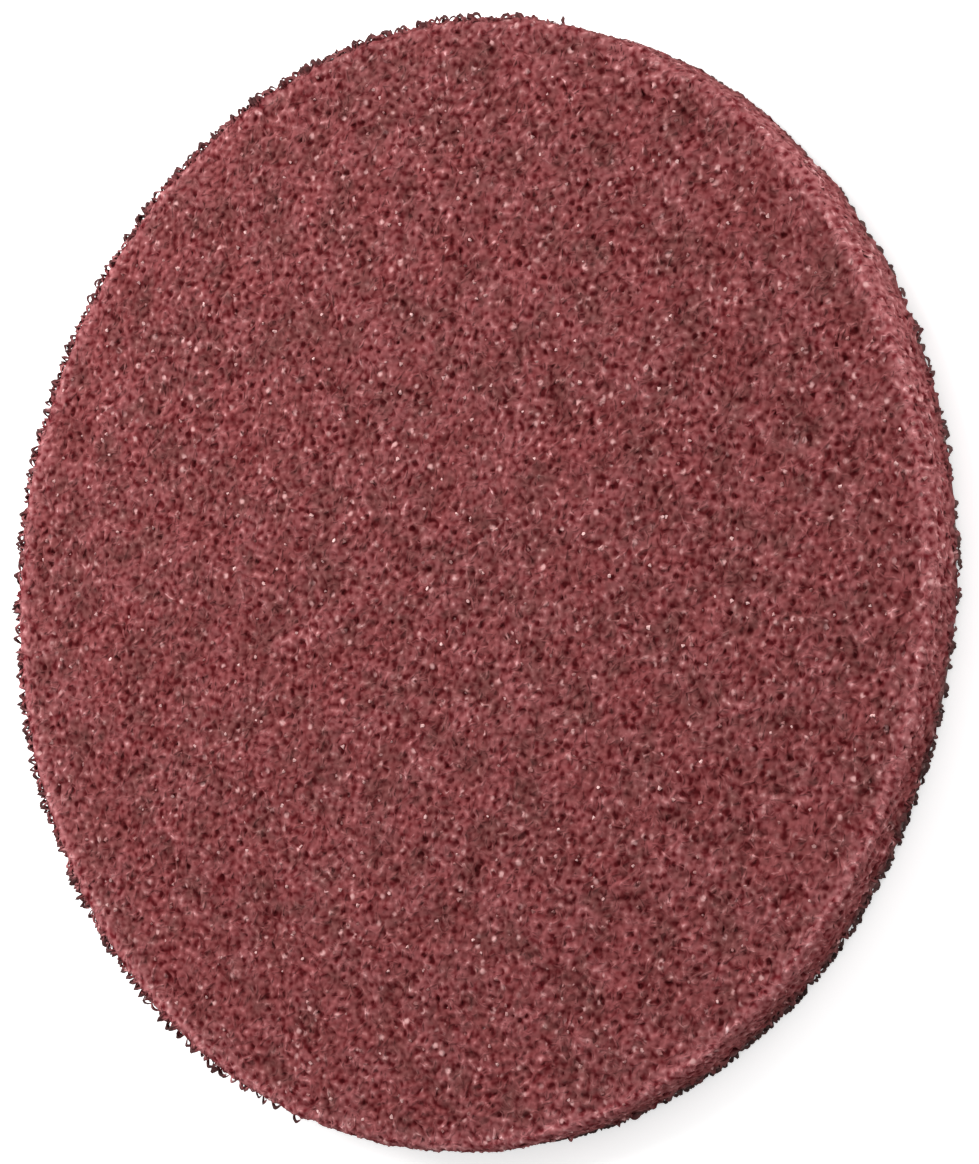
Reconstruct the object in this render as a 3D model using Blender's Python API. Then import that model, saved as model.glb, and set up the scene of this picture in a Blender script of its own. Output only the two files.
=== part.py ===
"""Surface conditioning disc: a round pad of lofty nonwoven abrasive web on a loop fabric backing.

Metres, +Z up. The origin is the centre of the backing's underside, and the working face looks up.
"""

import math

import bmesh
import bpy
from mathutils import Vector, noise

# Driving dimensions
disc_diameter = 0.125
backing_thickness = 0.0010
bond_line = 0.0003  # adhesive between backing and web, left as a gap
web_thickness = 0.0049
backing_inset = 0.0004  # the web's fibres stand this far proud of the backing all round
backing_edge_round = 0.00025
web_edge_round = 0.0009  # the punch rounds the working face's edge
web_foot_round = 0.0003

# The uneven surface of the web
tuft_spacing = 0.0026  # between neighbouring points of the working face
wave_length = 0.0090  # of the slow waves under the tufts
face_unevenness = 0.00032  # the most that tufts stand up and pits go down
rim_unevenness = 0.00030  # the most that the punched wall wanders in or out

backing_segments = 96
small_round_steps = 2  # straight steps along a small rounded edge
large_round_steps = 3
wall_steps = 3  # rows of faces up the straight wall

disc_radius = disc_diameter / 2
web_floor = backing_thickness + bond_line
web_top = web_floor + web_thickness


def clear_scene():
    for obj in list(bpy.data.objects):
        bpy.data.objects.remove(obj)


def make_material(name, colour, roughness):
    material = bpy.data.materials.new(name)
    material.use_nodes = True
    shader = material.node_tree.nodes["Principled BSDF"]
    shader.inputs["Base Color"].default_value = (*colour, 1.0)
    shader.inputs["Roughness"].default_value = roughness
    shader.inputs["Metallic"].default_value = 0.0
    return material


def finish(shape, name, material):
    """Turns a bmesh into a named object with smooth faces and sharp corners."""
    bmesh.ops.recalc_face_normals(shape, faces=shape.faces)
    mesh = bpy.data.meshes.new(name)
    shape.to_mesh(mesh)
    shape.free()
    mesh.materials.append(material)
    mesh.shade_smooth()
    mesh.set_sharp_from_angle(angle=math.radians(50))
    obj = bpy.data.objects.new(name, mesh)
    bpy.context.scene.collection.objects.link(obj)
    return obj


def lower_round(centre_radius, centre_height, round_radius, steps):
    """Points (radius, height) that curve from a flat underside out to an upright wall."""
    return arc(centre_radius, centre_height, round_radius, -math.pi / 2, steps)


def upper_round(centre_radius, centre_height, round_radius, steps):
    """Points (radius, height) that curve from an upright wall in to a flat top."""
    return arc(centre_radius, centre_height, round_radius, 0, steps)


def arc(centre_radius, centre_height, round_radius, start, steps):
    """Points along a quarter circle, which starts at this angle above level."""
    angles = [start + math.pi / 2 * step / steps for step in range(steps + 1)]
    return [
        (centre_radius + round_radius * math.cos(a), centre_height + round_radius * math.sin(a))
        for a in angles
    ]


def ring_of_points(shape, radius, height, count):
    turn = 2 * math.pi / count
    return [
        shape.verts.new((radius * math.cos(turn * i), radius * math.sin(turn * i), height))
        for i in range(count)
    ]


def join_rings(shape, lower, upper):
    """A band of four-sided faces between two rings that have as many points."""
    for i in range(len(lower)):
        j = (i + 1) % len(lower)
        shape.faces.new((lower[i], lower[j], upper[j], upper[i]))


def join_growing_rings(shape, inner, outer, sectors):
    """Triangles between ring k and ring k + 1, which hold sectors * k and sectors * (k + 1) points."""
    inner_side = len(outer) // sectors - 1
    for sector in range(sectors):
        for step in range(inner_side + 1):
            near = outer[sector * (inner_side + 1) + step]
            far = outer[(sector * (inner_side + 1) + step + 1) % len(outer)]
            here = inner[(sector * inner_side + step) % len(inner)]
            shape.faces.new((here, near, far))
            if step < inner_side:
                beyond = inner[(sector * inner_side + step + 1) % len(inner)]
                shape.faces.new((here, far, beyond))


def make_backing():
    """The loop fabric: a flat disc whose underside grips a hook-faced pad."""
    radius = disc_radius - backing_inset
    inner = radius - backing_edge_round
    upper_centre = backing_thickness - backing_edge_round
    profile = lower_round(inner, backing_edge_round, backing_edge_round, small_round_steps)
    profile += upper_round(inner, upper_centre, backing_edge_round, small_round_steps)
    shape = bmesh.new()
    rings = [ring_of_points(shape, r, z, backing_segments) for r, z in profile]
    for lower, upper in zip(rings, rings[1:]):
        join_rings(shape, lower, upper)
    shape.faces.new(list(reversed(rings[0])))
    shape.faces.new(rings[-1])
    return finish(shape, "loop_backing", make_material("loop_fabric", (0.105, 0.075, 0.070), 0.95))


def unevenness(place):
    """From -1 to 1: slow waves with quicker tufts on them."""
    slow = noise.noise(place / wave_length)
    quick = noise.noise(place / tuft_spacing + Vector((7.3, 2.9, 5.1)))
    return max(-1.0, min(1.0, slow + quick))


def make_web():
    """The nonwoven web: a rounded, slightly ragged wall and a lofty working face."""
    sectors = 6
    face_radius = disc_radius - web_edge_round
    ring_count = max(3, round(face_radius / tuft_spacing))
    outline = sectors * ring_count

    wall_bottom = web_floor + web_foot_round
    wall_top = web_top - web_edge_round
    foot_radius = disc_radius - web_foot_round
    profile = lower_round(foot_radius, wall_bottom, web_foot_round, small_round_steps)
    for step in range(1, wall_steps):
        profile.append((disc_radius, wall_bottom + (wall_top - wall_bottom) * step / wall_steps))
    profile += upper_round(face_radius, wall_top, web_edge_round, large_round_steps)

    shape = bmesh.new()
    wall = [ring_of_points(shape, r, z, outline) for r, z in profile]
    for lower, upper in zip(wall, wall[1:]):
        join_rings(shape, lower, upper)
    shape.faces.new(list(reversed(wall[0])))

    # The working face: each ring inwards has one point fewer in each sector
    outer = wall[-1]
    face_points = list(outer)
    for k in range(ring_count - 1, 0, -1):
        inner = ring_of_points(shape, face_radius * k / ring_count, web_top, sectors * k)
        join_growing_rings(shape, inner, outer, sectors)
        face_points += inner
        outer = inner
    centre = shape.verts.new((0, 0, web_top))
    face_points.append(centre)
    for i in range(sectors):
        shape.faces.new((centre, outer[i], outer[(i + 1) % sectors]))

    for ring in wall[1:-1]:
        for point in ring:
            outwards = Vector((point.co.x, point.co.y, 0)).normalized()
            point.co += outwards * rim_unevenness * unevenness(point.co)
    for point in face_points:
        point.co.z += face_unevenness * unevenness(point.co)
    return finish(shape, "abrasive_web", make_material("maroon_web", (0.25, 0.065, 0.067), 0.8))


clear_scene()
make_backing()
make_web()
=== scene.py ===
import math

import bmesh
import bpy
import numpy as np
from mathutils import Matrix, Vector
from mathutils.bvhtree import BVHTree


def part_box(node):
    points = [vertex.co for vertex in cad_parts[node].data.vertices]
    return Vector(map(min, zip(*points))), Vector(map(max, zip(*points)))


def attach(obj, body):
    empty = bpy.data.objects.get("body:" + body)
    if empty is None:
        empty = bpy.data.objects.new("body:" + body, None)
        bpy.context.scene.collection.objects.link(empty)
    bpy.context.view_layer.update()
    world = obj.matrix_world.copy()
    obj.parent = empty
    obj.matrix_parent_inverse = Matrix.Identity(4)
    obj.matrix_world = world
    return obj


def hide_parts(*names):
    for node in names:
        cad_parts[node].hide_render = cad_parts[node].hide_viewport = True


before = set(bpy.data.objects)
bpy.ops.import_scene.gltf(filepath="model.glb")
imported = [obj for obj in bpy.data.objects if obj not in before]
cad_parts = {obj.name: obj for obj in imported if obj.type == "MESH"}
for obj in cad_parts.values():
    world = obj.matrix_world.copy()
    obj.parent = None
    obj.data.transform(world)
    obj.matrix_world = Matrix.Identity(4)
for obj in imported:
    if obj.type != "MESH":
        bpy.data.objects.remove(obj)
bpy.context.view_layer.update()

# Sizes read from the frame, in metres
webLow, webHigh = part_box("abrasive_web")
backingLow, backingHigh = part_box("loop_backing")
webOverhang = 0.0004  # the web stands this far past its backing all round
edgeRound = 0.0009  # rounding of the working face's edge
tuftRise = 0.0003  # the highest tufts over the mean face
backingRadius = (backingHigh.x - backingLow.x) / 2
webRadius = backingRadius + webOverhang
webTop = webHigh.z - tuftRise
webFoot = backingHigh.z  # the web is bonded on, so its fibres come down to the backing
faceRadius = webRadius - edgeRound
cornerLength = edgeRound * math.pi / 2
wallLength = webTop - edgeRound - webFoot

# Distances from the centre of a flat cover that drapes over the face, the edge and the wall
wallTop = faceRadius + cornerLength
coverRadius = wallTop + wallLength
tiny = 1e-9  # the least length to divide by, at the very centre


# Shader maths as Python expressions
class Value:
    def __init__(self, tree, socket):
        self.tree = tree
        self.socket = socket

    def math(self, operation, first, second):
        node = self.tree.nodes.new("ShaderNodeMath")
        node.operation = operation
        for place, given in zip(node.inputs, (first, second)):
            if isinstance(given, Value):
                self.tree.links.new(given.socket, place)
            else:
                place.default_value = given
        return Value(self.tree, node.outputs[0])

    def __add__(self, other):
        return self.math("ADD", self, other)

    __radd__ = __add__

    def __sub__(self, other):
        return self.math("SUBTRACT", self, other)

    def __rsub__(self, other):
        return self.math("SUBTRACT", other, self)

    def __mul__(self, other):
        return self.math("MULTIPLY", self, other)

    __rmul__ = __mul__


class Nodes:
    def __init__(self, tree):
        self.tree = tree

    # Any node by its type, its settings and the values or links of its sockets
    def node(self, kind, settings=None, sockets=None, output=0):
        made = self.tree.nodes.new(kind)
        for name, given in (settings or {}).items():
            if name == "stops":
                self.setStops(made.color_ramp, given)
            else:
                setattr(made, name, given)
        for name, given in (sockets or {}).items():
            self.plug(made.inputs[name], given)
        return Value(self.tree, made.outputs[output])

    def plug(self, socket, given):
        if isinstance(given, Value):
            self.tree.links.new(given.socket, socket)
        elif socket.type == "RGBA":
            socket.default_value = (*given, 1.0)
        else:
            socket.default_value = given

    def setStops(self, ramp, stops):
        while len(ramp.elements) < len(stops):
            ramp.elements.new(1.0)
        for element, (place, colour) in zip(ramp.elements, stops):
            element.position = place
            element.color = (*colour, 1.0)


class Finish(Nodes):
    def __init__(self, name):
        self.material = bpy.data.materials.new(name)
        self.material.use_nodes = True
        super().__init__(self.material.node_tree)
        self.shader = self.tree.nodes["Principled BSDF"]

    def set(self, name, given):
        self.plug(self.shader.inputs[name], given)

    def surface(self, colour, roughness, shine):
        self.set("Base Color", colour)
        self.set("Roughness", roughness)
        self.set("Specular IOR Level", shine)

    def place(self):  # where a point lies on the disc, in metres
        return self.node("ShaderNodeTexCoord", output="Object")

    def attribute(self, name):
        return self.node("ShaderNodeAttribute", {"attribute_name": name}, output="Fac")

    def noise(self, size, detail, roughness=0.5):
        sockets = {"Vector": self.place(), "Scale": 1 / size, "Detail": detail, "Roughness": roughness}
        return self.node("ShaderNodeTexNoise", None, sockets, "Fac")

    def dots(self, size, share):  # round soft dots, of which only this share is strong
        edge, middle = 0.46, 0.12  # cells from a dot's centre to where it ends and where it is full
        sockets = {"Vector": self.place(), "Scale": 1 / size}
        apart = self.node("ShaderNodeTexVoronoi", None, sockets)
        chosen = self.node("ShaderNodeTexVoronoi", None, sockets, "Color")
        chosen = self.node("ShaderNodeSeparateColor", None, {"Color": chosen})
        return self.between(apart, edge, middle) * self.between(chosen, 1 - share, 1.0)

    def between(self, value, low, high):  # 0 below low, 1 above high
        sockets = {"Value": value, "From Min": low, "From Max": high}
        return self.node("ShaderNodeMapRange", {"interpolation_type": "SMOOTHSTEP"}, sockets)

    def ramp(self, value, stops):
        return self.node("ShaderNodeValToRGB", {"stops": stops}, {"Fac": value})

    def mix(self, share, first, second):
        sockets = {0: share, 6: first, 7: second}
        return self.node("ShaderNodeMix", {"data_type": "RGBA", "clamp_factor": True}, sockets, 2)

    def bump(self, height, distance, strength):
        sockets = {"Height": height, "Distance": distance, "Strength": strength}
        self.set("Normal", self.node("ShaderNodeBump", None, sockets))


# From the darkest to the palest colour of a piece, by each copy's own tint
def copiesFinish(name, settings):
    finish = Finish(name)
    colour = finish.mix(finish.attribute("tint"), settings["darkest"], settings["palest"])
    finish.surface(colour, settings["roughness"], settings["shine"])
    return finish


# Small helpers
def deselectAll():
    if bpy.context.mode != "OBJECT":
        bpy.ops.object.mode_set(mode="OBJECT")
    bpy.ops.object.select_all(action="DESELECT")


def makeActive(piece):
    deselectAll()
    piece.select_set(True)
    bpy.context.view_layer.objects.active = piece


def readPoints(mesh):
    points = np.empty(len(mesh.vertices) * 3)
    mesh.vertices.foreach_get("co", points)
    return points.reshape(-1, 3)


def storeOnPoints(mesh, name, values):
    layer = mesh.attributes.new(name, "FLOAT", "POINT")
    layer.data.foreach_set("value", values.astype(np.float32).ravel())


def finishPiece(piece, finish, slot, *replaced):
    piece.data.materials.clear()
    piece.data.materials.append(finish.material)
    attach(piece, "root")
    if replaced:
        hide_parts(*replaced)
    piece.data.calc_loop_triangles()
    print("made", piece.name, len(piece.data.loop_triangles), "triangles")


def smoothly(value, low, high):  # 0 below low, 1 above high
    share = np.clip((value - low) / (high - low), 0, 1)
    return share * share * (3 - 2 * share)


def band(value, start, end):  # 1 from start to end, each of which is a low and a high limit
    return smoothly(value, *start) - smoothly(value, *end)


# 1 on this side of the disc and 0 opposite; low and high are cosines of the angle off that side
def facing(flat, side, low, high):
    azimuth = np.arctan2(flat[..., 1], flat[..., 0])
    return smoothly(np.cos(azimuth - side), low, high)


def mostlyLow(span, power, count, random):  # the higher the power, the more of the values are low
    low, high = span
    return low + (high - low) * random.uniform(0, 1, count) ** power


# The cover: a flat sheet laid over the disc, whose points drape over the edge and down the wall
def profileAt(along):  # radius, height and the normal's angle above level, this far from the centre
    turned = np.clip((along - faceRadius) / edgeRound, 0, math.pi / 2)
    onWall = np.clip(along - faceRadius - cornerLength, 0, None)
    radius = np.minimum(along, faceRadius) + edgeRound * np.sin(turned)
    height = webTop - edgeRound * (1 - np.cos(turned)) - onWall
    return radius, height, math.pi / 2 - turned


def drape(flat, rise):  # flat: points on the cover, rise: how far each stands off it
    along = np.linalg.norm(flat, axis=-1)
    outwards = flat / np.maximum(along, tiny)[..., None]
    along = np.minimum(along, coverRadius)
    flat = outwards * along[..., None]
    radius, height, angle = profileAt(along)
    rise = rise + sample(proudGrid, flat)
    radius = radius + rise * np.cos(angle)
    height = height + rise * np.sin(angle)
    return np.concatenate([outwards * radius[..., None], height[..., None]], axis=-1)


def sample(grid, flat):  # a square grid of values over the cover, read between its points
    last = len(grid) - 1
    justInside = 0.001  # of a cell, so that the last place still has a neighbour
    place = np.clip((flat / coverRadius + 1) / 2 * last, 0, last - justInside)
    low = place.astype(int)
    x, y = low[..., 0], low[..., 1]
    u, v = place[..., 0] - x, place[..., 1] - y
    near = grid[x, y] * (1 - v) + grid[x, y + 1] * v
    far = grid[x + 1, y] * (1 - v) + grid[x + 1, y + 1] * v
    return near * (1 - u) + far * u


# How far the CAD web stands off the plain profile, over the whole cover
proudSettings = {
    "count": 134,  # places measured along each side of the grid
    "reach": 0.002,  # each ray starts this far outside
    "lowest": 0.0005,  # above the web's underside, where the wall's last places are measured
}


def measureProud():
    tree = BVHTree.FromObject(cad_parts["abrasive_web"], bpy.context.evaluated_depsgraph_get())
    count, reach = proudSettings["count"], proudSettings["reach"]
    found = np.zeros((count, count))
    spots = np.linspace(-coverRadius, coverRadius, count)
    for row, x in enumerate(spots):
        for column, y in enumerate(spots):
            along = math.hypot(x, y)
            radius, height, angle = (float(v) for v in profileAt(np.array(min(along, coverRadius))))
            height = max(height, webLow.z + proudSettings["lowest"])
            outwards = Vector((x, y, 0)) / max(along, tiny)
            normal = outwards * math.cos(angle) + Vector((0, 0, math.sin(angle)))
            start = outwards * radius + Vector((0, 0, height)) + normal * reach
            distance = tree.ray_cast(start, -normal)[3]
            found[row, column] = reach - distance if distance else 0.0
    return found


proudGrid = measureProud()
print("measured the frame's web", round(float(proudGrid.min()), 5), round(float(proudGrid.max()), 5))


# The web's loft: nubs of matted fibre with pores between them, in grids over the cover
loftSettings = {
    "seed": 5,
    "gridStep": 0.00025,
    "nubs": (0.00080, 0.0018),  # shortest and longest waves
    "tufts": (0.0018, 0.0045),
    "swells": (0.0045, 0.020),
    "toneShares": (0.90, 0.15),  # of nubs and tufts in the tone
    "toneRange": 5,  # from the darkest to the palest colour
    "slowShares": (0.6, 0.8),  # of tufts and swells in the slow changes
    "slowRange": (-2.0, 2.0),
    "slowRise": 0.00004,
    "nubRise": 0.00006,
    "nubRange": (-1.5, 2.0),
    "poreDepth": 0.00032,
    "pores": (0.70, 2.1),  # how far below the mean they start and are deepest
    "calm": (faceRadius - 0.0024, faceRadius),  # the face is pressed smoother near its edge
    "calmShare": 0.10,
    "calmEnd": (wallTop, wallTop + 0.0012),
    "calmLost": 0.6,
    "rimRoughness": 0.8,  # how much rougher the wall is than the face
}


def waveGrid(shortest, longest, random):
    count = int(2 * coverRadius / loftSettings["gridStep"]) + 1
    waves = np.fft.fftfreq(count, loftSettings["gridStep"])
    frequency = np.hypot(waves[:, None], waves[None])
    kept = np.exp(-(frequency * shortest) ** 4) - np.exp(-(frequency * longest) ** 4)
    found = np.fft.ifft2(np.fft.fft2(random.normal(0, 1, (count, count))) * kept).real
    return found / found.std()


def makeLoft():
    random = np.random.default_rng(loftSettings["seed"])
    nubs, tufts, swells = (waveGrid(*loftSettings[name], random) for name in ("nubs", "tufts", "swells"))
    spots = np.linspace(-coverRadius, coverRadius, len(nubs))
    along = np.hypot(spots[:, None], spots[None])
    calm = smoothly(along, *loftSettings["calm"]) * loftSettings["calmShare"]
    calm = calm * (1 - loftSettings["calmLost"] * smoothly(along, *loftSettings["calmEnd"]))
    nubShare, tuftShare = loftSettings["toneShares"]
    tone = (nubShare * nubs + tuftShare * tufts) * (1 - calm)
    tuftShare, swellShare = loftSettings["slowShares"]
    slow = tuftShare * tufts + swellShare * swells
    pores = smoothly(-tone, *loftSettings["pores"])
    height = loftSettings["nubRise"] * np.clip(tone, *loftSettings["nubRange"])
    height = height - loftSettings["poreDepth"] * pores
    height = height * (1 + loftSettings["rimRoughness"] * smoothly(along, faceRadius, wallTop))
    height = height + loftSettings["slowRise"] * np.clip(slow, *loftSettings["slowRange"])
    return height, tone, slow


loftGrid, toneGrid, slowGrid = makeLoft()
print("made the loft", round(float(loftGrid.min()), 5), round(float(loftGrid.max()), 5))


# One fibre, straight along X from 0 to 1 and of radius 1, modelled once and strewn in thousands
fibreSettings = {
    "sides": 3,
    "tip": 0.06,  # share of the length that each pointed end takes
    "touching": 0.001,  # points nearer than this are in one place
    "thinPower": 1.5,  # the higher, the more fibres are thin
}


def modelFibre(rings):
    tip = fibreSettings["tip"]
    deselectAll()
    bpy.ops.mesh.primitive_circle_add(
        vertices=fibreSettings["sides"],
        radius=1,
        fill_type="NOTHING",
        location=(tip, 0, 0),
        rotation=(0, math.pi / 2, 0),
    )
    fibre = bpy.context.object
    bpy.ops.object.transform_apply(location=True, rotation=True, scale=True)
    bpy.ops.object.mode_set(mode="EDIT")
    bpy.ops.mesh.select_all(action="SELECT")
    bpy.ops.transform.rotate(value=-math.pi / 2, orient_axis="X", center_override=(0, 0, 0))
    step = (1 - 2 * tip) / (rings - 1)
    for _ in range(rings - 1):
        bpy.ops.mesh.extrude_region_move(TRANSFORM_OT_translate={"value": (step, 0, 0)})
    bpy.ops.mesh.extrude_region_move(TRANSFORM_OT_translate={"value": (tip, 0, 0)})
    bpy.ops.mesh.merge(type="CENTER")
    bpy.ops.mesh.select_all(action="DESELECT")
    shape = bmesh.from_edit_mesh(fibre.data)
    for vert in shape.verts:
        vert.select = abs(vert.co.x - tip) < fibreSettings["touching"]
    shape.select_flush(True)
    bpy.ops.mesh.extrude_region_move(TRANSFORM_OT_translate={"value": (-tip, 0, 0)})
    bpy.ops.mesh.merge(type="CENTER")
    bpy.ops.mesh.select_all(action="SELECT")
    bpy.ops.mesh.normals_make_consistent(inside=False)
    bpy.ops.mesh.quads_convert_to_tris()
    bpy.ops.object.mode_set(mode="OBJECT")
    return fibre


def readShape(shape):  # its points and faces
    points = np.array([vert.co for vert in shape.data.vertices])
    faces = np.array([list(face.vertices) for face in shape.data.polygons])
    bpy.data.objects.remove(shape)
    return points, faces


def readFibre(fibre):  # its points, faces and a map: along its length, and round it
    points, faces = readShape(fibre)
    corners = points[faces]
    middles = corners.mean(1)
    faceAngle = np.arctan2(middles[:, 2], middles[:, 1])
    cornerAngle = np.arctan2(corners[..., 2], corners[..., 1])
    onAxis = np.hypot(corners[..., 1], corners[..., 2]) < fibreSettings["touching"]
    apart = (cornerAngle - faceAngle[:, None] + math.pi) % (2 * math.pi) - math.pi
    around = np.where(onAxis, 0, apart) + faceAngle[:, None]
    around = (around - around.min()) / np.ptp(around)
    return points, faces, np.stack([corners[..., 0], around], -1)


# Every copy has its own cell in the map
cellMargin = 0.1  # bare border of a cell
cellLength = 3  # of a cell for its height


# Joins many bent copies of one shape into a piece. places: copies x points x 3
def joinCopies(name, places, faces, cellMap, **attributes):
    copies, points = places.shape[:2]
    allFaces = (faces[None] + points * np.arange(copies)[:, None, None]).reshape(-1, 3)
    mesh = bpy.data.meshes.new(name)
    mesh.vertices.add(copies * points)
    mesh.vertices.foreach_set("co", places.astype(np.float32).ravel())
    mesh.loops.add(allFaces.size)
    mesh.loops.foreach_set("vertex_index", allFaces.astype(np.int32).ravel())
    mesh.polygons.add(len(allFaces))
    mesh.polygons.foreach_set("loop_start", np.arange(0, allFaces.size, 3, dtype=np.int32))
    mesh.update(calc_edges=True)
    columns = max(1, int(math.sqrt(copies / cellLength)))
    rows = math.ceil(copies / columns)
    cell = np.stack([np.arange(copies) % columns, np.arange(copies) // columns], -1)
    inCell = cellMargin + (1 - 2 * cellMargin) * cellMap
    spots = (cell[:, None, None] + inCell[None]) / np.array([columns, rows])
    layer = mesh.uv_layers.new(name="OFBake")
    layer.uv.foreach_set("vector", spots.astype(np.float32).ravel())
    for key, values in attributes.items():
        storeOnPoints(mesh, key, np.broadcast_to(values.reshape(copies, -1), (copies, points)))
    mesh.shade_flat()
    piece = bpy.data.objects.new(name, mesh)
    bpy.context.scene.collection.objects.link(piece)
    return piece


# Evenly strewn points over a disc or ring of the cover
strewSettings = {
    "steps": (0.7548776662466927, 0.5698402909980532),  # of a sequence that leaves no large gaps
    "wander": 0.3,  # of the distance between neighbours
}


def strew(count, inner, outer, random):
    wander = strewSettings["wander"] / math.sqrt(count)
    shares = []
    for step in strewSettings["steps"]:
        share = (0.5 + np.arange(count) * step) % 1
        shares.append((share + random.normal(0, wander, count)) % 1)
    radius = np.sqrt(inner ** 2 + (outer ** 2 - inner ** 2) * shares[0])
    angle = 2 * math.pi * shares[1]
    return np.stack([radius * np.cos(angle), radius * np.sin(angle)], -1)


# How bent fibres lie on the cover: their middles, headings, curls and lengths
def chooseCourses(centre, settings, random):
    count = len(centre)
    straightest = 0.01  # a spine divides by its curl
    heading = random.uniform(0, 2 * math.pi, count)
    curl = random.normal(0, settings["curl"], count)
    curl = np.where(np.abs(curl) < straightest, straightest, curl)
    length = random.uniform(*settings["length"], count)
    return centre, heading, curl, length


# The same courses, turned to run along or down the rim
def alongRim(courses, settings, random):
    centre, heading, curl, length = courses
    outwards = np.arctan2(centre[:, 1], centre[:, 0])
    heading = outwards + settings["lean"] + random.normal(0, settings["wander"], len(centre))
    return centre, heading, curl, length


def spineAt(courses, t):  # t runs from -0.5 to 0.5 along each fibre
    centre, heading, curl, length = courses
    turn = heading[:, None] + curl[:, None] * t
    x = (np.sin(turn) - np.sin(heading)[:, None]) * (length / curl)[:, None]
    y = (np.cos(heading)[:, None] - np.cos(turn)) * (length / curl)[:, None]
    return centre[:, None] + np.stack([x, y], -1), turn


# Where the points of copies of a fibre lie on the cover, and how far their surface is off their spine
def layFibres(fibre, courses, settings, random):
    points = fibre[0]
    thick = mostlyLow(settings["radius"], fibreSettings["thinPower"], len(courses[0]), random)
    t = points[None, :, 0] - 0.5
    spine, turn = spineAt(courses, t)
    taper = thick[:, None] * (1 - settings["taper"] * (2 * np.abs(t)) ** 2)
    sideways = points[None, :, 1] * taper
    upwards = points[None, :, 2] * taper * settings["flatness"]
    flat = spine + np.stack([-np.sin(turn) * sideways, np.cos(turn) * sideways], -1)
    return flat, upwards, 2 * t


# Height of arcs whose ends dive back into what they stand on; ends runs from -1 to 1
def archOver(ends, settings, random):
    count = len(ends)
    level = random.uniform(*settings["level"], count)[:, None]
    arch = random.uniform(*settings["arch"], count)[:, None]
    tilt = random.normal(0, settings["tilt"], count)[:, None]
    return level + arch * (1 - 2 * ends ** 2) + tilt * ends


# Colours of the web, by how high a spot stands among its nubs and pores: its own varied tone, with
# painted shade darkening the pores and painted highlight paling the nubs
webStops = [
    (0.00, (0.046, 0.002, 0.003)),
    (0.22, (0.088, 0.008, 0.010)),
    (0.38, (0.146, 0.031, 0.032)),
    (0.52, (0.193, 0.053, 0.053)),
    (0.70, (0.245, 0.076, 0.075)),
    (0.86, (0.370, 0.155, 0.150)),
    (1.00, (0.620, 0.340, 0.330)),
]
dullTint = (0.77, 0.79, 0.76)  # slow changes over the web, from duller to richer
richTint = (1.23, 1.20, 1.26)
redTint = (1.06, 0.82, 0.86)  # and patches that are redder
paintedHighlightTint = (1.80, 2.05, 2.15)  # painted highlight: the edge is paler
footShadeTint = (0.60, 0.89, 0.87)  # painted shade: its foot is browner and darker

# How these colours are mixed: sizes in metres, and shares
colourSettings = {
    "toneStart": 0.25,
    "toneShare": 0.50,
    "matSize": 0.00070,  # of the finest light and dark
    "matDetail": 0.6,
    "matShare": 1.20,
    # dark round pits in the colour, painted shade of pores
    "pitSize": 0.00120,
    "pitShare": 0.34,
    "pitDepth": 0.42,
    "patchSize": 0.0042,
    "patchDetail": 1,
    "patchRange": (0.40, 0.68),
    "patchShare": 0.6,
    "glintSize": 0.00105,  # soft pale painted highlights off the resin, where the mat is light
    "glintShare": 0.20,
    "glintRange": (0.34, 0.56),
    "glintCover": 0.9,
    "glintPink": (0.70, 0.38, 0.37),
    "grainSize": 0.0008,
    "grainDetail": 0.5,
    "grainHeight": 0.0006,
    "grainStrength": 0.5,
}

# The painted highlight along the edge: shares of the paler colour, where on the cover they start and
# end, and the sides of the disc that have more or less of it
paintedHighlightSettings = {
    "wide": 0.20,
    "wideStart": (faceRadius - 0.0022, faceRadius),
    "wideEnd": (wallTop, wallTop + 0.0032),
    "narrow": 0.40,
    "narrowStart": (faceRadius - 0.0010, faceRadius + 0.0003),
    "narrowEnd": (wallTop - 0.0008, wallTop),
    "crest": 0.30,
    "crestWidth": 0.00055,
    "crestSide": (math.radians(342), 0.30, 0.75),
    "broad": 0.13,
    "broadStart": (faceRadius - 0.0036, faceRadius - 0.0012),
    "broadEnd": (faceRadius, wallTop),
    "broadSide": (math.radians(205), 0.40, 0.90),
    "wall": 0.40,
    "wallStart": (wallTop - 0.0008, wallTop + 0.0004),
    "wallSide": (math.radians(32), 0.72, 0.97),
    "foot": (coverRadius - 0.0015, coverRadius - 0.0001),
    "footLost": 0.6,  # less of the foot's painted shade where the wall has painted highlight
    "sides": (
        (0.40, (math.radians(48), 0.80, 0.97)),  # how much more painted highlight, and on which side
        (-0.45, (math.radians(92), 0.80, 0.97)),
        (0.50, (math.radians(190), 0.10, 0.97)),
        (0.60, (math.radians(228), 0.72, 0.97)),
        (0.20, (math.radians(310), 0.60, 0.97)),
    ),
}


def tinted(stops, tint):
    found = []
    for place, colour in stops:
        found.append((place, tuple(min(1, part * share) for part, share in zip(colour, tint))))
    return found


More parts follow.
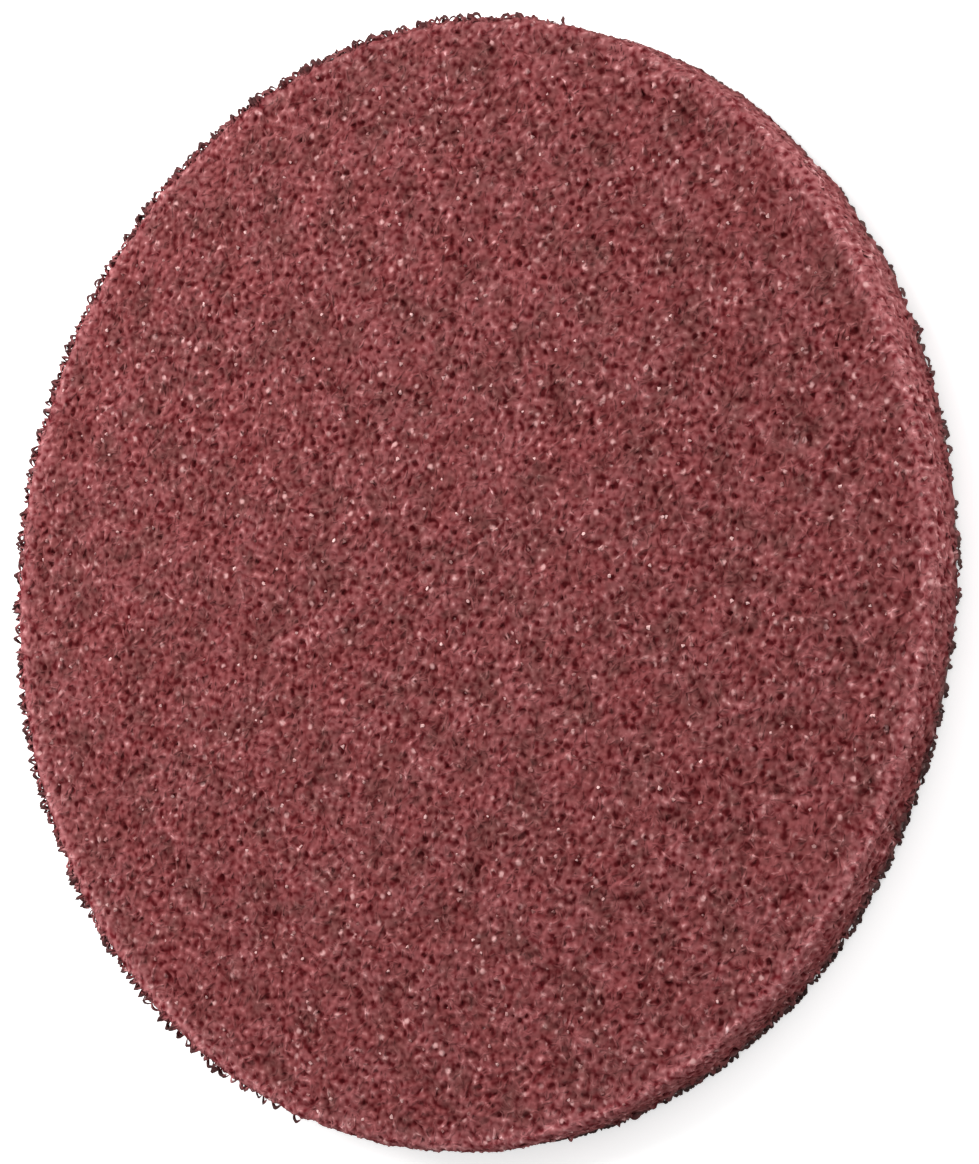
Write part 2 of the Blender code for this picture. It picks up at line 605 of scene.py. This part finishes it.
def webColour(finish):
    chosen = colourSettings
    mat = finish.noise(chosen["matSize"], chosen["matDetail"])
    tone = finish.attribute("tone") * chosen["toneShare"] + chosen["toneStart"]
    tone = tone + (mat - 0.5) * chosen["matShare"]
    # painted shade: dark soft pits
    tone = tone - finish.dots(chosen["pitSize"], chosen["pitShare"]) * chosen["pitDepth"]
    tints = (dullTint, richTint, redTint, paintedHighlightTint, footShadeTint)
    dull, rich, red, margin, foot = (finish.ramp(tone, tinted(webStops, tint)) for tint in tints)
    colour = finish.mix(finish.attribute("swell"), dull, rich)
    patches = finish.noise(chosen["patchSize"], chosen["patchDetail"])
    patches = finish.between(patches, *chosen["patchRange"])
    colour = finish.mix(patches * chosen["patchShare"], colour, red)
    # painted highlight: paler colour along the edge and down one side of the wall
    colour = finish.mix(finish.attribute("margin"), colour, margin)
    # painted highlights: soft pale pink dots
    glints = finish.dots(chosen["glintSize"], chosen["glintShare"])
    glints = glints * finish.between(mat, *chosen["glintRange"])
    colour = finish.mix(glints * chosen["glintCover"], colour, chosen["glintPink"])
    # painted shade: the web darker and browner at the foot of its wall
    return finish.mix(finish.attribute("foot"), colour, foot)


def webFinish(name, settings):
    finish = Finish(name)
    finish.surface(webColour(finish), settings["roughness"], settings["shine"])
    grain = finish.noise(colourSettings["grainSize"], colourSettings["grainDetail"])
    finish.bump(grain, colourSettings["grainHeight"], colourSettings["grainStrength"])
    return finish


# Share of painted highlight at each point, by its distance from the centre and the side of the disc
def paintedHighlightAt(flat, along, paintedWallHighlight):
    chosen = paintedHighlightSettings
    margin = chosen["wide"] * band(along, chosen["wideStart"], chosen["wideEnd"])
    margin = margin + chosen["narrow"] * band(along, chosen["narrowStart"], chosen["narrowEnd"])
    crest = np.exp(-((along - faceRadius) / chosen["crestWidth"]) ** 2)
    margin = margin + chosen["crest"] * crest * facing(flat, *chosen["crestSide"])
    for more, side in chosen["sides"]:
        margin = margin * (1 + more * facing(flat, *side))
    broad = band(along, chosen["broadStart"], chosen["broadEnd"])
    margin = margin + chosen["broad"] * broad * facing(flat, *chosen["broadSide"])
    return margin + chosen["wall"] * paintedWallHighlight * smoothly(along, *chosen["wallStart"])


def webAttributes(flat, extraTone=0.0):
    along = np.linalg.norm(flat, axis=-1)
    tone = np.clip(0.5 + sample(toneGrid, flat) / loftSettings["toneRange"] + extraTone, 0, 1)
    # the side of the wall that gets painted highlight
    paintedWallHighlight = facing(flat, *paintedHighlightSettings["wallSide"])
    # painted shade at the wall's foot, less on the side with painted highlight
    foot = smoothly(along, *paintedHighlightSettings["foot"]) * (1 - paintedHighlightSettings["footLost"] * paintedWallHighlight)
    swell = smoothly(sample(slowGrid, flat), *loftSettings["slowRange"])
    return {"tone": tone, "margin": paintedHighlightAt(flat, along, paintedWallHighlight), "foot": foot, "swell": swell}


# The body of the web: an even net of triangles, draped over the disc with its nubs and pores
bodySettings = {
    "subdivisions": 8,
    "sunk": 0.00007,
    "roughness": 0.85,
    "shine": 0.05,
    "undersideShare": 0.985,  # of the radius, where a flat face closes the underside
    "undersideTop": webFoot + 0.00001,
    "undersideTilt": -0.99,
    "undersideMap": (0.06, 0.05),  # its middle and radius in the map
}


def makeBody():
    deselectAll()
    bpy.ops.mesh.primitive_ico_sphere_add(
        subdivisions=bodySettings["subdivisions"], radius=1, location=(0, 0, 0)
    )
    body = bpy.context.object
    body.name = "web_body"
    bpy.ops.object.mode_set(mode="EDIT")
    bpy.ops.mesh.select_all(action="SELECT")
    bpy.ops.mesh.bisect(plane_co=(0, 0, 0), plane_no=(0, 0, 1), clear_inner=True)
    bpy.ops.object.mode_set(mode="OBJECT")

    # The half sphere is pressed flat, with every triangle keeping its share of the area
    mesh = body.data
    points = readPoints(mesh)
    across = np.linalg.norm(points[:, :2], axis=1)
    steepness = np.arctan2(across, points[:, 2])
    flat = points[:, :2] / np.maximum(across, tiny)[:, None]
    flat = flat * (coverRadius * math.sqrt(2) * np.sin(steepness / 2))[:, None]
    draped = drape(flat, sample(loftGrid, flat) - bodySettings["sunk"])
    mesh.vertices.foreach_set("co", draped.ravel())
    for key, values in webAttributes(flat).items():
        storeOnPoints(mesh, key, values)
    spread = mesh.attributes.new("cover", "FLOAT2", "POINT")
    spread.data.foreach_set("vector", ((flat / coverRadius + 1) / 2).astype(np.float32).ravel())

    # Its underside, flat on the backing
    makeActive(body)
    bpy.ops.object.mode_set(mode="EDIT")
    bpy.ops.mesh.select_mode(type="EDGE")
    bpy.ops.mesh.select_all(action="DESELECT")
    bpy.ops.mesh.select_non_manifold()
    bpy.ops.mesh.extrude_region_move(TRANSFORM_OT_translate={"value": (0, 0, 0)})
    bpy.ops.transform.resize(value=(bodySettings["undersideShare"], bodySettings["undersideShare"], 1))
    bpy.ops.mesh.edge_face_add()
    bpy.ops.mesh.select_all(action="SELECT")
    bpy.ops.mesh.normals_make_consistent(inside=False)
    bpy.ops.object.mode_set(mode="OBJECT")
    mesh.shade_smooth()
    mapBody(mesh)
    finishPiece(body, webFinish("web_body", bodySettings), "maroon_web", "abrasive_web")


def mapBody(mesh):  # the draped cover as it lay flat, and its underside small in a corner
    corners = np.empty(len(mesh.loops), dtype=np.int32)
    mesh.loops.foreach_get("vertex_index", corners)
    points = readPoints(mesh)[corners]
    spots = np.empty(len(mesh.vertices) * 2, dtype=np.float32)
    mesh.attributes["cover"].data.foreach_get("vector", spots)
    spots = spots.reshape(-1, 2)[corners]
    middle, radius = bodySettings["undersideMap"]
    for face in mesh.polygons:
        level = face.normal.z < bodySettings["undersideTilt"]
        if level and face.center.z < bodySettings["undersideTop"]:
            span = slice(face.loop_start, face.loop_start + face.loop_total)
            spots[span] = middle + radius * points[span, :2] / webRadius
    mesh.uv_layers.new(name="OFBake").uv.foreach_set("vector", spots.ravel())
    mesh.attributes.remove(mesh.attributes["cover"])


# The matted fibres of the web, in layers
matSettings = {
    "seed": 11,
    "layers": 3,
    "fibresPerLayer": 8800,
    "outer": coverRadius - 0.0003,
    "candidates": 1.5,  # this many courses are tried for each fibre, and the best keep clear of pores
    "tested": (-0.4, 0.4, 5),  # from and to where along a course, and in how many places
    "length": (0.0009, 0.0019),
    "radius": (0.00012, 0.00022),
    "flatness": 0.17,
    "curl": 1.3,  # radians that a fibre turns from end to end, typically
    "level": (-0.00014, -0.00004),
    "arch": (0.00003, 0.00008),
    "tilt": 0.00003,
    "taper": 0.35,
    "lean": 0.0,  # on the wall they run down it
    "wander": 1.0,  # radians off that direction, typically
    "tintSpread": 0.05,
    "glintFibreShare": 0.02,  # of the fibres, which are tinted pale as painted highlights
    "glintFibreTint": 0.35,
    "roughness": 0.8,
    "shine": 0.08,
}


def keepClearOfPores(courses, wanted):
    spine = spineAt(courses, np.linspace(*matSettings["tested"])[None])[0]
    lowest = sample(toneGrid, spine).min(1)
    best = np.sort(np.argsort(-lowest)[:wanted])
    return [values[best] for values in courses]


def makeMat(fibre, finish):
    random = np.random.default_rng(matSettings["seed"])
    wanted = matSettings["fibresPerLayer"]
    tried = int(matSettings["candidates"] * wanted)
    for layer in range(matSettings["layers"]):
        centre = random.permutation(strew(tried, 0, matSettings["outer"], random))
        courses = keepClearOfPores(chooseCourses(centre, matSettings, random), wanted)
        onWall = np.linalg.norm(courses[0], axis=-1) > faceRadius + cornerLength / 2
        courses[1] = np.where(onWall, alongRim(courses, matSettings, random)[1], courses[1])
        flat, upwards, ends = layFibres(fibre, courses, matSettings, random)
        loft = (sample(loftGrid, flat) + sample(loftGrid, courses[0])[:, None]) / 2
        places = drape(flat, loft + archOver(ends, matSettings, random) + upwards)
        tint = random.normal(0, matSettings["tintSpread"], wanted)
        # a few fibres tinted pale as painted highlights
        glinting = random.uniform(0, 1, wanted) < matSettings["glintFibreShare"]
        tint = tint + matSettings["glintFibreTint"] * glinting
        attributes = webAttributes(flat, tint[:, None])
        piece = joinCopies(f"web_fibres_{layer + 1}", places, *fibre[1:], **attributes)
        finishPiece(piece, finish, "maroon_web")


# Fibres that lie loosely on the rim
looseSettings = {
    "fibres": 3600,
    "ring": (faceRadius - 0.0002, coverRadius - 0.0003),
    "length": (0.0004, 0.0009),
    "radius": (0.00016, 0.00028),
    "flatness": 0.3,
    "curl": 2.2,
    "taper": 0.3,
    "reach": (0.00004, 0.00018),  # how far they stand out
    "turnBack": (0.6, 1.0),  # 0.5 ends at its furthest, 1 comes all the way back
    "sunk": 0.00014,
    "lean": 0.0,  # they run down the wall
    "wander": 1.0,
}

# Nibs and small loops that stand out along the rim's two edges
nibSettings = {
    "upperNibs": 2300,
    "upperRing": (faceRadius + 0.0006, wallTop + 0.0008),
    "lowerNibs": 380,
    "lowerRing": (coverRadius - 0.0012, coverRadius - 0.0002),
    "length": (0.0008, 0.0018),
    "radius": (0.00016, 0.00027),
    "flatness": 1.0,
    "curl": 1.0,
    "taper": 0.5,
    "reach": (0.00042, 0.00098),
    "turnBack": (0.88, 1.0),
    "sunk": 0.00018,
    "lean": math.pi / 2,  # they run along the rim
    "wander": 0.7,
    "frayedSide": (math.radians(172), -0.10, 0.80),  # the upper edge is frayed most on this side
    "trimmedSides": (
        (math.radians(66), 0.80, 0.95),  # the foot is cut cleanly on these sides
        (math.radians(268), 0.80, 0.95),
    ),
}

# What both of them share
fringeSettings = {
    "seed": 23,
    "reachPower": 1.6,  # the higher, the fewer reach far
    "foot": (coverRadius - 0.0020, coverRadius - 0.0010),
    "footLost": 0.35,  # they reach less far near the foot
    "tintSpread": 0.07,
    "tip": (0.00034, 0.00066),  # how far out they turn dark, as painted shade
    "shadedTipColour": (0.090, 0.034, 0.034),
    "roughness": 0.8,
    "shine": 0.1,
}


def fringeFinish():
    finish = Finish("web_fringe")
    # painted shade: the outer ends of the nibs and loose fibres turn dark
    colour = finish.mix(finish.attribute("tip"), webColour(finish), fringeSettings["shadedTipColour"])
    finish.surface(colour, fringeSettings["roughness"], fringeSettings["shine"])
    return finish


def makeFringe(name, fibre, finish, centre, settings, random):
    courses = alongRim(chooseCourses(centre, settings, random), settings, random)
    flat, upwards, ends = layFibres(fibre, courses, settings, random)
    count = len(centre)
    reach = mostlyLow(settings["reach"], fringeSettings["reachPower"], count, random)[:, None]
    nearFoot = smoothly(np.linalg.norm(centre, axis=-1), *fringeSettings["foot"])
    reach = reach * (1 - fringeSettings["footLost"] * nearFoot)[:, None]
    back = random.uniform(*settings["turnBack"], count)[:, None]
    out = reach * np.sin(math.pi * (ends + 1) / 2 * back)
    places = drape(flat, sample(loftGrid, flat) - settings["sunk"] + out + upwards)
    tint = random.normal(0, fringeSettings["tintSpread"], count)[:, None]
    # where the painted shade on the tips starts
    tip = smoothly(out, *fringeSettings["tip"])
    piece = joinCopies(name, places, *fibre[1:], tip=tip, **webAttributes(flat, tint))
    finishPiece(piece, finish, "maroon_web")


def trimmed(flat):  # 1 where the foot is cut cleanly
    return sum(facing(flat, *side) for side in nibSettings["trimmedSides"])


def makeRimFibres(fibre, nibFibre, finish):
    random = np.random.default_rng(fringeSettings["seed"])
    loose = strew(looseSettings["fibres"], *looseSettings["ring"], random)
    makeFringe("web_loose_fibres", fibre, finish, loose, looseSettings, random)
    upper = strew(nibSettings["upperNibs"], *nibSettings["upperRing"], random)
    frayed = facing(upper, *nibSettings["frayedSide"])
    upper = upper[random.uniform(0, 1, len(upper)) < frayed]
    lower = strew(nibSettings["lowerNibs"], *nibSettings["lowerRing"], random)
    lower = lower[random.uniform(0, 1, len(lower)) > trimmed(lower)]
    makeFringe("web_nibs", nibFibre, finish, np.concatenate([upper, lower]), nibSettings, random)


# Abrasive grain: chips that catch the light, the palest coloured near white as painted glints, modelled
# once and strewn over the fibres
gritSettings = {
    "seed": 37,
    "chips": 950,
    "outer": coverRadius - 0.0008,
    "edge": (faceRadius - 0.0020, faceRadius),
    "edgeShare": 0.35,  # of the chips near the edge, how many are left
    "sides": 5,
    "top": 0.5,  # a chip's upper radius, height and width, for a foot of radius 1
    "height": 1.3,
    "width": 0.75,
    "size": (0.00019, 0.00031),
    "level": (-0.00016, -0.00003),
    "paintedGlintRarity": 3.0,  # the higher, the fewer pale ones with painted glint
    "darkest": (0.30, 0.115, 0.11),
    # painted glint: the palest chips are near white
    "palest": (0.88, 0.55, 0.53),
    "roughness": 0.6,
    "shine": 0.2,
}


def modelChip():
    deselectAll()
    bpy.ops.mesh.primitive_cone_add(
        vertices=gritSettings["sides"],
        radius1=1,
        radius2=gritSettings["top"],
        depth=gritSettings["height"],
        location=(0, 0, 0),
    )
    chip = bpy.context.object
    bpy.ops.object.mode_set(mode="EDIT")
    bpy.ops.mesh.select_all(action="SELECT")
    bpy.ops.transform.resize(value=(1, gritSettings["width"], 1))
    bpy.ops.mesh.quads_convert_to_tris()
    bpy.ops.object.mode_set(mode="OBJECT")
    points, faces = readShape(chip)
    side = math.ceil(math.sqrt(len(faces)))
    index = np.arange(len(faces))
    cell = np.stack([index % side, index // side], -1)
    low, high = cellMargin, 1 - cellMargin
    cellMap = (cell[:, None] + np.array([[low, low], [high, low], [low, high]])) / side
    return points, faces, cellMap


def turnsOf(count, random):  # random rotations, as matrices
    spin = random.normal(0, 1, (count, 4))
    w, x, y, z = (spin / np.linalg.norm(spin, axis=1)[:, None]).T
    rows = [
        [1 - 2 * (y * y + z * z), 2 * (x * y - w * z), 2 * (x * z + w * y)],
        [2 * (x * y + w * z), 1 - 2 * (x * x + z * z), 2 * (y * z - w * x)],
        [2 * (x * z - w * y), 2 * (y * z + w * x), 1 - 2 * (x * x + y * y)],
    ]
    return np.array(rows).transpose(2, 0, 1)


def makeGrit():
    random = np.random.default_rng(gritSettings["seed"])
    points, faces, cellMap = modelChip()
    centre = strew(gritSettings["chips"], 0, gritSettings["outer"], random)
    nearEdge = smoothly(np.linalg.norm(centre, axis=-1), *gritSettings["edge"])
    centre = centre[random.uniform(0, 1, len(centre)) > (1 - gritSettings["edgeShare"]) * nearEdge]
    count = len(centre)
    middle = drape(centre, sample(loftGrid, centre) + random.uniform(*gritSettings["level"], count))
    size = random.uniform(*gritSettings["size"], count)
    places = np.einsum("nij,pj->npi", turnsOf(count, random), points) * size[:, None, None]
    tint = mostlyLow((0, 1), gritSettings["paintedGlintRarity"], count, random)
    piece = joinCopies("web_grit", places + middle[:, None], faces, cellMap, tint=tint)
    finishPiece(piece, copiesFinish("grit", gritSettings), "maroon_web")


# The loop backing: a knitted ground
groundSettings = {
    "floor": 0.00042,  # its underside, which the loops hold off the table
    "sides": 256,
    "inset": 0.002,
    "softEdge": 0.0002,
    "softSteps": 3,
    "smoothAngle": math.radians(40),
    "wales": 0.0011,  # width of the knit's columns and rows
    "courses": 0.0008,
    "waleShare": 0.12,
    "courseShare": 0.08,
    "fuzzSize": 0.0004,
    "fuzzDetail": 3,
    "fuzzRoughness": 0.6,
    "range": (0.25, 0.75),
    "darkest": (0.040, 0.025, 0.023),
    "palest": (0.17, 0.115, 0.105),
    "roughness": 0.9,
    "shine": 0.15,
    "knitHeight": 0.0002,
    "knitStrength": 0.8,
}

# A pile of small loops below it
pileSettings = {
    "seed": 51,
    "loops": 7600,
    "outer": backingRadius - 0.0006,
    "length": (0.0013, 0.0023),
    "radius": (0.00012, 0.00018),
    "flatness": 0.8,
    "curl": 2.4,
    "level": (0.00002, 0.00010),
    "arch": (0.00014, 0.00026),
    "tilt": 0.00004,
    "taper": 0.0,
    "lowest": 0.00001,  # over the table
    "darkest": (0.070, 0.046, 0.043),
    "palest": (0.26, 0.18, 0.165),
    "roughness": 0.8,
    "shine": 0.12,
}

# And loops round its edge, coloured darker than the pile's yarn as painted shade
hemSettings = {
    "seed": 53,
    "loops": 1300,
    "ring": (coverRadius - 0.0009, coverRadius - 0.0001),
    "length": (0.0007, 0.0014),
    "radius": (0.00020, 0.00030),
    "flatness": 1.0,
    "curl": 1.2,
    "level": (-0.00010, 0.00008),
    "arch": (0.00004, 0.00022),
    "tilt": 0.00007,
    "taper": 0.5,
    "lean": math.pi / 2,
    "wander": 0.45,
    "sparseSide": (math.radians(30), 0.55, 0.95),
    "sparseLost": 0.55,  # of the loops on that side
    "paintedSideLight": 0.5,  # they are paler there, as painted light on that side
    "plainTint": 0.6,
    "trimmedLost": 0.7,
    "proudSide": (math.radians(298), 0.55, 0.95),
    "proud": 0.00012,
    "lowest": 0.0001,
    # painted shade: darker than the pile's yarn
    "darkest": (0.016, 0.007, 0.007),
    "palest": (0.150, 0.078, 0.074),
    "roughness": 0.8,
    "shine": 0.12,
}


def knitWave(finish, axis, width):
    place = finish.node("ShaderNodeSeparateXYZ", None, {"Vector": finish.place()}, axis)
    return place.math("SINE", place * (2 * math.pi / width), 0.0)


def groundFinish():
    chosen = groundSettings
    finish = Finish("loop_ground")
    knit = finish.noise(chosen["fuzzSize"], chosen["fuzzDetail"], chosen["fuzzRoughness"])
    knit = knit + knitWave(finish, "X", chosen["wales"]) * chosen["waleShare"]
    knit = knit + knitWave(finish, "Y", chosen["courses"]) * chosen["courseShare"]
    colour = finish.mix(finish.between(knit, *chosen["range"]), chosen["darkest"], chosen["palest"])
    finish.surface(colour, chosen["roughness"], chosen["shine"])
    finish.bump(knit, chosen["knitHeight"], chosen["knitStrength"])
    return finish


def makeGround():
    deselectAll()
    low = groundSettings["floor"]
    bpy.ops.mesh.primitive_cylinder_add(
        vertices=groundSettings["sides"],
        radius=backingRadius,
        depth=webFoot - low,
        location=(0, 0, (webFoot + low) / 2),
    )
    ground = bpy.context.object
    ground.name = "backing_ground"
    bpy.ops.object.transform_apply(location=True, rotation=True, scale=True)
    bpy.ops.object.mode_set(mode="EDIT")
    bpy.ops.mesh.select_all(action="SELECT")
    bpy.ops.mesh.inset(thickness=groundSettings["inset"])
    bpy.ops.object.mode_set(mode="OBJECT")
    bevel = ground.modifiers.new("soft edge", "BEVEL")
    bevel.width = groundSettings["softEdge"]
    bevel.segments = groundSettings["softSteps"]
    makeActive(ground)
    bpy.ops.object.modifier_apply(modifier=bevel.name)
    bpy.ops.object.shade_smooth_by_angle(angle=groundSettings["smoothAngle"])
    finishPiece(ground, groundFinish(), "loop_fabric", "loop_backing")


def makePile(fibre):
    random = np.random.default_rng(pileSettings["seed"])
    centre = strew(pileSettings["loops"], 0, pileSettings["outer"], random)
    courses = chooseCourses(centre, pileSettings, random)
    flat, upwards, ends = layFibres(fibre, courses, pileSettings, random)
    drop = archOver(ends, pileSettings, random) + upwards
    height = np.clip(groundSettings["floor"] - drop, pileSettings["lowest"], None)
    places = np.concatenate([flat, height[..., None]], -1)
    faces, cellMap = (part[:, ::-1] for part in fibre[1:])  # hanging mirrors a loop, so they are turned
    piece = joinCopies("loop_pile", places, faces, cellMap, tint=random.uniform(0, 1, len(centre)))
    finishPiece(piece, copiesFinish("loop_yarn", pileSettings), "loop_fabric")


def makeHem(fibre):
    random = np.random.default_rng(hemSettings["seed"])
    centre = strew(hemSettings["loops"], *hemSettings["ring"], random)
    sparse = facing(centre, *hemSettings["sparseSide"])
    kept = random.uniform(0, 1, len(centre)) > hemSettings["sparseLost"] * sparse
    centre, sparse = centre[kept], sparse[kept]
    courses = alongRim(chooseCourses(centre, hemSettings, random), hemSettings, random)
    flat, upwards, ends = layFibres(fibre, courses, hemSettings, random)
    even = (1 - hemSettings["trimmedLost"] * trimmed(centre))[:, None]
    proud = hemSettings["proud"] * facing(centre, *hemSettings["proudSide"])[:, None]
    places = drape(flat, archOver(ends, hemSettings, random) * even + upwards + proud)
    places[..., :2] *= backingRadius / webRadius  # drawn in and let down to the backing's edge
    places[..., 2] = np.clip(places[..., 2] - webFoot, hemSettings["lowest"], None)
    # painted light: paler loops on one side, over the darker painted-shade range
    tint = random.uniform(0, hemSettings["plainTint"], len(centre)) + hemSettings["paintedSideLight"] * sparse
    piece = joinCopies("backing_hem", places, *fibre[1:], tint=tint)
    finishPiece(piece, copiesFinish("hem_yarn", hemSettings), "loop_fabric")


shortFibre = readFibre(modelFibre(rings=3))
longFibre = readFibre(modelFibre(rings=4))
makeBody()
makeMat(shortFibre, webFinish("web_fibre", matSettings))
makeRimFibres(longFibre, readFibre(modelFibre(rings=6)), fringeFinish())
makeGrit()
makeGround()
makePile(shortFibre)
makeHem(longFibre)


# Camera, at the photograph's angle
cameraSettings = {
    "tiltFromPlumb": math.radians(36.44),
    "roll": math.radians(6.38),
    "distance": 0.5,
    "sensor": 36,
    "near": 0.01,
    "far": 20,
    "photoWide": 979,
    "photoHigh": 1164,
    "centreAcross": 473.5,  # where the photo shows the centre of the disc's foot, in its pixels
    "centreDown": 584.0,
    "pixelsPerRadius": 561.5,
}


def makeCamera():
    tilt = cameraSettings["tiltFromPlumb"]
    roll = cameraSettings["roll"]
    back = Vector((math.sin(tilt), 0, math.cos(tilt)))
    levelRight = Vector((math.cos(tilt), 0, -math.sin(tilt)))
    levelUp = Vector((0, 1, 0))
    right = levelRight * math.cos(roll) + levelUp * math.sin(roll)
    up = levelUp * math.cos(roll) - levelRight * math.sin(roll)
    data = bpy.data.cameras.new("camera")
    camera = bpy.data.objects.new("camera", data)
    bpy.context.scene.collection.objects.link(camera)
    turned = Matrix((right, up, back)).transposed().to_4x4()
    camera.matrix_world = Matrix.Translation(back * cameraSettings["distance"]) @ turned
    high = cameraSettings["photoHigh"]
    focalPixels = cameraSettings["pixelsPerRadius"] * cameraSettings["distance"] / webRadius
    data.sensor_width = cameraSettings["sensor"]
    data.lens = focalPixels * data.sensor_width / high
    data.shift_x = (cameraSettings["photoWide"] / 2 - cameraSettings["centreAcross"]) / high
    data.shift_y = (cameraSettings["centreDown"] - high / 2) / high
    data.clip_start = cameraSettings["near"]
    data.clip_end = cameraSettings["far"]
    bpy.context.scene.camera = camera


# White floor that keeps a soft shadow, and plain studio light
studioSettings = {
    "skyStrength": 0.58,
    "keyPlace": (-0.25, 0.15, 0.235),
    "keySize": 0.34,
    "keyPower": 1.67,
    "fillPlace": (0.34, 0.26, 0.0),
    "fillSize": 0.44,
    "fillPower": 2.1,
    "floorSize": 6,
    "floorWhite": (0.9, 0.9, 0.9),
    "floorRoughness": 1.0,
    "floorShine": 0.0,
    "floorGlow": 0.49,
    "white": (1, 1, 1),
}


def makeFloor():
    deselectAll()
    bpy.ops.mesh.primitive_plane_add(size=studioSettings["floorSize"], location=(0, 0, 0))
    floor = bpy.context.object
    floor.name = "floor"
    finish = Finish("white_floor")
    roughness, shine = studioSettings["floorRoughness"], studioSettings["floorShine"]
    finish.surface(studioSettings["floorWhite"], roughness, shine)
    camera = finish.node("ShaderNodeLightPath", output="Is Camera Ray")
    mirrored = finish.node("ShaderNodeLightPath", output="Is Glossy Ray")
    strength = (camera + mirrored) * studioSettings["floorGlow"]
    glow = {"Color": studioSettings["white"], "Strength": strength}
    glow = finish.node("ShaderNodeEmission", None, glow)
    lit = Value(finish.tree, finish.shader.outputs[0])
    both = finish.node("ShaderNodeAddShader", None, {0: lit, 1: glow})
    finish.plug(finish.tree.nodes["Material Output"].inputs["Surface"], both)
    floor.data.materials.append(finish.material)


def makeLight():
    world = bpy.data.worlds.new("studio")
    bpy.context.scene.world = world
    world.use_nodes = True
    sky = Nodes(world.node_tree)
    background = sky.tree.nodes["Background"]
    sky.plug(background.inputs["Color"], studioSettings["white"])
    camera = sky.node("ShaderNodeLightPath", output="Is Camera Ray")
    strength = studioSettings["skyStrength"]
    sky.plug(background.inputs["Strength"], camera * (1 - strength) + strength)
    for name in ("key", "fill"):
        lamp = bpy.data.lights.new(name, "AREA")
        lamp.shape = "DISK"
        lamp.size = studioSettings[name + "Size"]
        lamp.energy = studioSettings[name + "Power"]
        light = bpy.data.objects.new(name, lamp)
        bpy.context.scene.collection.objects.link(light)
        light.location = studioSettings[name + "Place"]
        light.rotation_euler = (-light.location).to_track_quat("-Z", "Y").to_euler()


makeCamera()
makeFloor()
makeLight()
bpy.context.scene.view_settings.view_transform = "Standard"
print("made the studio")
